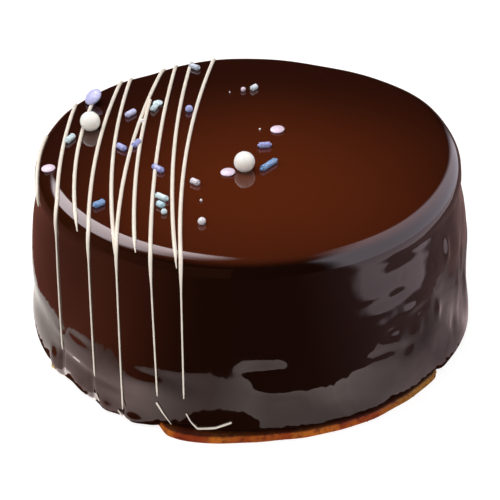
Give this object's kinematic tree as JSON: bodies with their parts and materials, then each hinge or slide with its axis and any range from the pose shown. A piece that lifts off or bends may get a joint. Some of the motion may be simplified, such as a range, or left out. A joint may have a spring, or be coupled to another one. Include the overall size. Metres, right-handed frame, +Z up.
{
  "type": "chocolate cake",
  "caption": "Round chocolate mousse cake under a dark mirror glaze, with white chocolate threads, sugar pearls and pastel sprinkles, on a thin biscuit base.",
  "frame": {"origin": "middle of the biscuit base's flat underside", "axes": "+Z up through the cake's middle, -Y to the side the picture is taken from, +X to its right"},
  "size_m": [0.155, 0.1551, 0.0705],
  "materials": {
    "chocolate_glaze": "mirror gloss, dark chocolate",
    "biscuit": "baked, slightly moist, golden brown",
    "sugar_pearl": "pearly satin, ivory"
  },
  "bodies": {
    "root": {"glazed_cake": "chocolate_glaze", "biscuit_base": "biscuit", "pearl_edge": "sugar_pearl", "pearl_centre": "sugar_pearl"}
  },
  "joints": []
}
